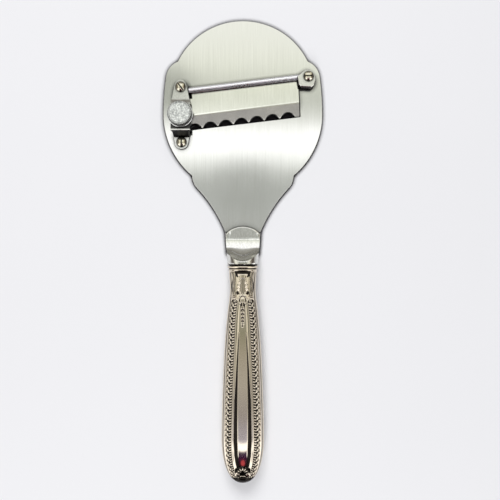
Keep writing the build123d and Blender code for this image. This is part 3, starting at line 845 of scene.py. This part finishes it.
def relief(x, y):
    """How far the stamping lies under the handle's smooth form, in millimetres, and how dark it is there."""
    apart, along, whole = outline_places(x, y)
    side = np.abs(x)
    v = shell_front - y
    u = y - handle_end
    stations = [station(k / 200) for k in range(401)]
    half = np.interp(-y, [-at for a, b, at in stations], [a for a, b, at in stations])
    shrink = shrink_at(half, y)
    offset = apart / shrink - margin_at(half, y) - band_half
    height = np.zeros(len(x))
    recess = np.zeros(len(x))

    # A scored line just inside the seam, all the way round
    rim = line(apart / shrink - 0.78, 0.26) * smooth(v, 0.4, 2.0) * smooth(u, 1.5, 4.0)
    height -= 0.22 * rim
    recess = np.maximum(recess, 0.85 * rim)

    # The border: a sunk band that starts under an arch and ends at the scrolls, with its figures
    start = arch_v + 0.4
    stop = whole - 5.4
    before = np.clip(start - along, 0, None)
    after = np.clip(along - stop, 0, None)
    band = np.hypot(offset, np.maximum(before, after))
    in_band = smooth(band, band_half + 0.06, band_half - 0.1)
    live = smooth(band, band_half + 0.02, band_half - 0.16)
    body = smooth(along, start - 0.3, start + 0.4) * smooth(along, stop + 0.3, stop - 0.3)
    figures = border(offset, along, start, stop) * live * body
    # The small volute under the arch
    curl = np.maximum(
        lump(offset, before, -0.1, 0.35, 0.5, 0.5),
        ridge(np.hypot(offset + 0.1, before - 0.3) - 0.98, 0.26) * smooth(offset, -0.9, -0.3),
    )
    figures = np.maximum(figures, curl * live * (before > 0))
    height = np.minimum(height, -stamp_depth * in_band * (1 - figures))
    recess = np.maximum(recess, in_band * (1 - figures) ** 1.3)

    # The fillet along the band and over its arch, between two scored lines
    inward = np.where(before > 0, smooth(before + 0.8 * offset, -1.0, 0.4), (offset > 0) * 1.0)
    fillet_on = inward * smooth(along, whole - 3.6, whole - 4.6)
    outer_line = line(band - band_half - 0.02, 0.14) * fillet_on
    inner_line = line(band - band_half - fillet_width, 0.13) * fillet_on
    scored = np.maximum(outer_line, 0.8 * inner_line * smooth(v, 12, 15))
    height = np.minimum(height, -0.2 * scored)
    recess = np.maximum(recess, 0.75 * scored)

    # The field inside the fillet lies a little lower, with a channel along each side of the panel
    panel = np.minimum(np.interp(v, panel_places, panel_halves), 0.42 * half)
    channel = np.interp(v, channel_places, channel_widths)
    field_end = half - (margin_at(half, y) + band_width + fillet_width) * shrink
    field_end = np.maximum(field_end, panel + 0.12)
    channel_end = np.minimum(panel + channel, field_end - 0.02)
    wide = np.maximum(channel_end - panel, 0.02)
    place = np.clip((side - panel) / wide, 0, 1)
    in_channel = (side > panel) & (side < channel_end) & (v > 34)
    profile = np.clip(1 - np.abs(2 * place - 1) ** 5, 0, 1)
    deep = np.minimum(0.7, 0.42 * wide) * profile * smooth(v, 103, 94)
    open_end = smooth(u, 8.2, 9.8)
    height = np.where(in_channel, np.minimum(height, -deep * open_end), height)
    recess = np.where(in_channel, smooth(profile, 0.0, 0.35) * np.clip(3 * wide, 0, 1) * open_end, recess)

    # The black cove under the collar, and its two pockets beside the palmette's top
    cove = ridge(v - 1.35, 1.05) * smooth(side, 5.0, 4.0)
    pocket = lump(side, v, 3.4, 2.8, 1.7, 0.8, 122)
    cove = np.maximum(cove, pocket)
    height = np.minimum(height, -0.5 * cove)
    recess = np.maximum(recess, cove)

    # The palmette between its smooth hollows, with a dark pocket at each side of its foot
    beside = smooth(side, 4.3, 3.6) * smooth(v, 2.2, 3.0) * smooth(v, 13.9, 13.2)
    leaf = palmette(x, side, v)
    hollow = -0.26 * beside * (1 - leaf)
    edge_line = smooth(leaf, 0.02, 0.3) * smooth(leaf, 0.75, 0.35) * beside
    foot = lump(side, v, 2.9, 12.5, 0.95, 1.3)
    vein = line(x, 0.2) * smooth(v, 5.0, 6.5) * smooth(v, 12.3, 11.3)
    body = 0.42 * smooth(leaf, 0.3, 0.7) * smooth(side, 1.7, 1.1) * smooth(v, 3.2, 4.6) * beside
    height = np.where(beside > 0.02, np.minimum(hollow, -0.5 * cove), height)
    height = np.minimum(height, -0.16 * vein * beside - 0.45 * foot)
    recess = np.where(beside > 0.02, np.maximum(np.maximum(cove, body), 0.75 * edge_line), recess)
    recess = np.maximum(recess, np.maximum(0.6 * vein * beside, foot))

    # The ribs that curve down each side of it
    outer_rib = np.interp(v, (0.3, 1.8, 3.3, 6.0, 8.7, 11.4, 14.2), (6.3, 5.6, 5.1, 5.6, 6.0, 5.6, 4.6))
    inner_rib = np.interp(v, (2.0, 3.3, 6.0, 8.7, 11.4, 13.8), (4.5, 3.95, 4.25, 4.6, 4.4, 3.8))
    reach = smooth(v, 0.4, 1.2) * smooth(v, 14.2, 13.4)
    ribs = np.maximum(line(side - outer_rib, 0.24), 0.9 * line(side - inner_rib, 0.2) * smooth(v, 2.0, 3.4))
    ribs = np.maximum(ribs, 0.5 * line(side - outer_rib + 0.72, 0.16)) * reach
    height = np.minimum(height, -0.3 * ribs)
    recess = np.maximum(recess, ribs)

    # A water leaf, then a chain of husks that ends in a drop, on the panel
    water = np.maximum(lump(x, v, 0, 16.2, 1.7, 1.9), 0.9 * lump(side, v, 1.25, 17.4, 0.55, 1.7, -14))
    water = np.maximum(water, 0.9 * lump(x, v, 0, 18.2, 0.45, 1.7))
    chain = np.zeros(len(x))
    husk_v = 20.6
    for size in (1.0, 0.9, 0.8, 0.72, 0.64):
        husk = lump(side, v, 0.5 * size, husk_v, 0.45 * size, 1.15 * size, -16)
        chain = np.maximum(chain, husk)
        husk_v += 1.95 * size + 0.35
    motif = np.maximum(water, chain)
    ground = smooth(np.hypot(x / 2.1, (v - 17.0) / 2.9), 1.06, 0.94)
    ground = np.maximum(
        ground, smooth(side, 1.3 - (v - 20) * 0.05, 1.0 - (v - 20) * 0.05) * smooth(v, 18.5, 19.5)
        * smooth(v, 29.8, 29.2),
    )
    spine = line(x, 0.17) * smooth(v, 19.0, 20.0) * smooth(v, 30.0, 29.4)
    drop = lump(x, v, -0.1, 30.4, 0.5, 0.75)
    height = np.where(ground > 0.01, np.minimum(-0.3 * ground * (1 - motif), -0.3 * spine), height)
    recess = np.where(ground > 0.01, ground * np.clip(1 - motif, 0, 1) ** 1.5, recess)
    recess = np.maximum(recess, np.maximum(0.9 * spine, drop))
    height = np.minimum(height, -0.35 * drop)

    # The end: a fan of five leaves between two scrolls, over a short bar
    fan_u = 7.1
    petals = np.zeros(len(x))
    for turn in (20, 55, 90, 125, 160):
        c, s = math.cos(math.radians(turn)), math.sin(math.radians(turn))
        petals = np.maximum(petals, lump(x, u, 2.0 * c, fan_u + 2.0 * s, 1.0, 0.42, turn))
    ring = np.hypot(side - 3.0, u - 5.9)
    scroll = np.maximum(ridge(ring - 0.85, 0.32), ridge(ring, 0.3))
    bar = ridge(u - 4.8, 0.3) * smooth(side, 1.55, 1.3)
    end = np.maximum(np.maximum(petals, scroll), bar)
    tip = smooth(np.hypot(x / 4.5, (u - 7.0) / 3.6), 1.04, 0.92)
    height = np.where(tip > 0.01, -0.36 * tip * (1 - end), height)
    recess = np.where(tip > 0.01, tip * np.clip(1 - end, 0, 1), recess)
    # Painted shade: the tip beyond the bar is painted near black
    cap = smooth(u, 4.3, 3.7)
    recess = np.maximum(recess * (1 - cap), 0.9 * cap)
    return np.clip(height, -0.75, 0.0), np.clip(recess, 0, 1)


def shell_mesh(upper):
    """One stamped half of the handle: a grid laid on the handle's form and pressed in by its ornament."""
    rows = [station(travel) for travel in row_travels]
    columns = 2 * len(column_places(*rows[0][::2])) - 1
    mesh = bmesh.new()
    bmesh.ops.create_grid(mesh, x_segments=columns - 1, y_segments=len(rows) - 1, size=0.5)
    layer = mesh.verts.layers.float.new("recess")
    corners = sorted(mesh.verts, key=lambda v: (-round(v.co.y, 6), round(v.co.x, 6)))
    x = np.empty(len(corners))
    y = np.empty(len(corners))
    z = np.empty(len(corners))
    for number, (half, tall, at) in enumerate(rows):
        places = column_places(half, at)
        whole = np.array([-p for p in places] + places[-2::-1])
        part = slice(number * columns, (number + 1) * columns)
        x[part] = whole
        y[part] = at
        z[part] = tall * np.sqrt(np.clip(1 - (whole / max(half, 1e-6)) ** 2, 0, 1)) if half > 1e-6 else 0
    depth, recess = relief(x, y)
    # Each point moves square to the smooth form, and the two halves meet in one flat seam
    grid = np.stack([x, y, z], axis=1).reshape(len(rows), columns, 3)
    normal = np.cross(np.gradient(grid, axis=1), np.gradient(grid, axis=0))
    size = np.linalg.norm(normal, axis=2, keepdims=True)
    normal = np.where(size > 1e-9, normal / np.maximum(size, 1e-9), (0, -1, 0)).reshape(-1, 3)
    outward = np.sign(normal[:, 0] * x + normal[:, 2] * (z + 0.01))
    normal *= np.where(outward == 0, 1, outward)[:, None]
    normal[:, 2] *= np.clip(z / 0.4, 0, 1)
    moved = np.stack([x, y, z], axis=1) + normal * depth[:, None]
    moved[:, 2] = np.maximum(moved[:, 2], 0)
    flip = 1 if upper else -1
    for corner, place, dark in zip(corners, moved, recess):
        corner.co = (place[0] * MM, place[1] * MM, (handle_axis + flip * place[2]) * MM)
        corner[layer] = float(dark)
    bmesh.ops.remove_doubles(mesh, verts=mesh.verts, dist=2e-6)
    bmesh.ops.recalc_face_normals(mesh, faces=mesh.faces)
    top = max(mesh.faces, key=lambda f: flip * f.calc_center_median().z)
    if top.normal.z * flip < 0:
        bmesh.ops.reverse_faces(mesh, faces=mesh.faces)
    for face in mesh.faces:
        face.smooth = True
    return mesh


for side, upper in (("front", True), ("back", False)):
    shell = piece("stamped_handle_" + side, shell_mesh(upper), "handle_shell_" + side)
    wall = shell.modifiers.new("wall", "SOLIDIFY")
    wall.thickness = 0.35 * MM
    wall.offset = -1.0
    wall.use_rim = True


# The stage: a white card under the tool, a plain room round it and two soft lamps over it.

blade_skew = math.radians(6.9)
card_shadow = "1A181A"
# The dark oval under the gap before the blade: its middle, and half its length and width
oval_middle = (1.5 * MM, 71.7 * MM, 0)
oval_reach = (34 * MM, 5.5 * MM, 1)


def card_material():
    """Matt white card: plain, with the faintest mottle."""
    made, tree, shader, place = material("matt_white_card")
    mottle = add(tree, "ShaderNodeTexNoise", {"Scale": 9.0, "Detail": 1.0}, {"Vector": place})
    colour = add(
        tree, "ShaderNodeMix", {6: linear("EAEAEC"), 7: linear("ECECEE")},
        {0: mottle.outputs["Fac"]}, data_type="RGBA",
    )
    # Less light reaches the card close under the steel
    near = add(tree, "ShaderNodeAmbientOcclusion", {"Distance": 2.6 * MM}, samples=8)
    clear = add(
        tree, "ShaderNodeMapRange", {"From Min": 0.6, "From Max": 0.96}, {"Value": near.outputs["AO"]}
    )
    shaded = add(
        tree, "ShaderNodeMix", {6: linear(card_shadow)},
        {0: clear.outputs["Result"], 7: colour.outputs[2]}, data_type="RGBA",
    )
    # None reaches it through the gap before the blade, so the oval is dark
    under = add(
        tree, "ShaderNodeMapping",
        {"Location": oval_middle, "Rotation": (0, 0, blade_skew), "Scale": oval_reach},
        {"Vector": place}, vector_type="TEXTURE",
    )
    reach = add(tree, "ShaderNodeVectorMath", links={0: under.outputs["Vector"]}, operation="LENGTH")
    gap = add(
        tree, "ShaderNodeMapRange", {"From Min": 1.0, "From Max": 0.9}, {"Value": reach.outputs["Value"]}
    )
    shaded = add(
        tree, "ShaderNodeMix", {7: linear(card_shadow)}, {0: gap.outputs["Result"], 6: shaded.outputs[2]},
        data_type="RGBA",
    )
    tree.links.new(shaded.outputs[2], shader.inputs["Base Color"])
    shader.inputs["Roughness"].default_value = 0.9
    shader.inputs["Specular IOR Level"].default_value = 0.1
    return made


card_half = 1.2
card_drop = 0.0001
sheet = bmesh.new()
bmesh.ops.create_grid(sheet, x_segments=1, y_segments=1, size=card_half)
bmesh.ops.translate(sheet, verts=sheet.verts, vec=(0, 0, -card_drop))
placed("card", sheet, card_material())

# The room, by the angle from straight up towards +Y in degrees. The polished metal shows it:
# a white wall strip ahead, a grey ceiling, and a white strip and a dark red hanging behind.
room_strength = 2.0
fill_strength = 0.3
room_stops = (
    (-90, "0A0809"), (-42, "0A0708"), (-36, "2A1218"), (-30, "30142A"),
    (-27.5, "2D1733"), (-24.5, "2D1733"), (-23.5, "FFFFFF"), (-19.8, "FFFFFF"),
    (-18.5, "8F8FA3"), (-15, "7D7A7B"), (-11, "908E89"), (-7, "88857C"), (-3, "737465"), (0, "84847F"),
    (4.2, "A0A2A0"), (5.2, "989A97"), (6.8, "8C8E89"), (7.8, "BABCB8"),
    (8.8, "E6E8E4"), (9.5, "F4F4F4"), (11.0, "F4F4F4"), (12.4, "ACAEA6"), (13.4, "A0A29A"),
    (15.2, "A0A298"), (16.6, "C4C6BA"), (19, "C9CAC2"), (30, "D8D8D6"),
    (50, "DCDCDC"), (58, "8A8985"), (75, "787670"), (90, "62605A"),
)
# The same to the sides, by how far a direction leans to -X or +X, and where the one becomes the other
side_stops = (
    (-1.0, "B0B0B0"), (-0.93, "6A665F"), (-0.84, "4C4846"), (-0.72, "69655C"), (-0.58, "C4C2B8"),
    (-0.42, "C4C2B8"), (-0.3, "8C897E"), (0.3, "8C897E"), (0.42, "C0BEB4"), (0.56, "B4B1A4"),
    (0.7, "5C544C"), (0.84, "423C3A"), (0.93, "625C54"), (1.0, "A4A4A4"),
)
side_start = 0.28
side_end = 0.45

world = bpy.data.worlds.new("studio")
bpy.context.scene.world = world
world.use_nodes = True
sky = world.node_tree
sky.nodes.clear()
heading = add(sky, "ShaderNodeTexCoord").outputs["Generated"]
axes = add(sky, "ShaderNodeSeparateXYZ", links={"Vector": heading})
lean = add(
    sky, "ShaderNodeMath", links={0: axes.outputs["Y"], 1: axes.outputs["Z"]}, operation="ARCTAN2"
)
share = add(
    sky, "ShaderNodeMapRange", {"From Min": -math.pi / 2, "From Max": math.pi / 2},
    {"Value": lean.outputs["Value"]},
)
ahead = add(
    sky, "ShaderNodeValToRGB", links={"Fac": share.outputs["Result"]},
    stops=[((angle + 90) / 180, code) for angle, code in room_stops],
)
across = add(
    sky, "ShaderNodeMapRange", {"From Min": -1.0, "From Max": 1.0}, {"Value": axes.outputs["X"]}
)
flank = add(
    sky, "ShaderNodeValToRGB", links={"Fac": across.outputs["Result"]},
    stops=[((place + 1) / 2, code) for place, code in side_stops],
)
aside = add(sky, "ShaderNodeMath", links={0: axes.outputs["X"]}, operation="ABSOLUTE")
turn_in = add(
    sky, "ShaderNodeMapRange", {"From Min": side_start, "From Max": side_end},
    {"Value": aside.outputs["Value"]}, interpolation_type="SMOOTHSTEP",
)
room = add(
    sky, "ShaderNodeMix",
    links={0: turn_in.outputs["Result"], 6: ahead.outputs["Color"], 7: flank.outputs["Color"]},
    data_type="RGBA",
)
# Low down behind, the side walls are as white as the strip there
behind = add(
    sky, "ShaderNodeMapRange", {"From Min": -0.22, "From Max": -0.36}, {"Value": axes.outputs["Y"]},
    interpolation_type="SMOOTHSTEP",
)
walls = add(
    sky, "ShaderNodeMix", {7: linear("F8F6F4")},
    {0: behind.outputs["Result"], 6: flank.outputs["Color"]}, data_type="RGBA",
)
sky.links.new(walls.outputs[2], room.inputs[7])
# Three soft patches: a grey one where the camera stands, a darker one to the left, and a red cloth behind
flat_heading = add(
    sky, "ShaderNodeVectorMath", links={0: heading, 1: axes.outputs["Z"]}, operation="DIVIDE"
)
patched = room.outputs[2]
for middle, reach, tone in (
    ((-0.01, 0.103), (0.068, 0.045), "8B8D89"),
    ((-0.147, 0.268), (0.055, 0.04), "84867E"),
    ((0.0, -0.68), (0.14, 0.08), "9A3C42"),
):
    local = add(
        sky, "ShaderNodeMapping",
        {
            "Location": [-middle[0] / reach[0], -middle[1] / reach[1], 0],
            "Scale": [1 / reach[0], 1 / reach[1], 0],
        },
        {"Vector": flat_heading.outputs["Vector"]},
    )
    far = add(sky, "ShaderNodeVectorMath", links={0: local.outputs["Vector"]}, operation="LENGTH")
    inside = add(
        sky, "ShaderNodeMapRange", {"From Min": 1.3, "From Max": 0.75}, {"Value": far.outputs["Value"]},
        interpolation_type="SMOOTHSTEP",
    )
    patched = add(
        sky, "ShaderNodeMix", {7: linear(tone)}, {0: inside.outputs["Result"], 6: patched},
        data_type="RGBA",
    ).outputs[2]
# Metal shows the room, the camera a plain pale backdrop, and all else is lit by a plain dim one
path = add(sky, "ShaderNodeLightPath")
lit = add(
    sky, "ShaderNodeMix", {6: linear("F0F0F4")}, {0: path.outputs["Is Glossy Ray"], 7: patched},
    data_type="RGBA",
)
shown = add(
    sky, "ShaderNodeMix", {7: linear("EBEBED")},
    {0: path.outputs["Is Camera Ray"], 6: lit.outputs[2]}, data_type="RGBA",
)
gloss = add(
    sky, "ShaderNodeMapRange", {"To Min": fill_strength, "To Max": room_strength},
    {"Value": path.outputs["Is Glossy Ray"]},
)
strength = add(
    sky, "ShaderNodeMix", {3: 1.0}, {0: path.outputs["Is Camera Ray"], 2: gloss.outputs["Result"]}
)
background = add(
    sky, "ShaderNodeBackground",
    links={"Color": shown.outputs[2], "Strength": strength.outputs[0]},
)
add(sky, "ShaderNodeOutputWorld", links={"Surface": background.outputs["Background"]})

# Two softboxes, one past each end of the tool, so that its sides throw little shadow
softbox_width = 0.7
softbox_power = 10.3
for name, away in (("softbox_ahead", 0.95), ("softbox_behind", -0.95)):
    lamp = bpy.data.lights.new(name, "AREA")
    lamp.shape = "DISK"
    lamp.size = softbox_width
    lamp.energy = softbox_power
    softbox = bpy.data.objects.new(name, lamp)
    softbox.location = (-0.1, away, 0.85)
    aim = -softbox.location
    softbox.rotation_euler = aim.to_track_quat("-Z", "Y").to_euler()
    softbox.visible_glossy = False
    bpy.context.scene.collection.objects.link(softbox)

# The camera, straight over the tool. Its angle is across the whole picture, in degrees.
view_angle = 45.13
lens = bpy.data.cameras.new("camera")
lens.sensor_width = 36
lens.lens = lens.sensor_width / 2 / math.tan(math.radians(view_angle) / 2)
lens.clip_start = 0.01
camera = bpy.data.objects.new("camera", lens)
camera.location = (0.00401, -0.0001, 0.340)
camera.rotation_euler = (0, 0, 0)
bpy.context.scene.collection.objects.link(camera)
bpy.context.scene.camera = camera
bpy.context.scene.view_settings.view_transform = "Standard"
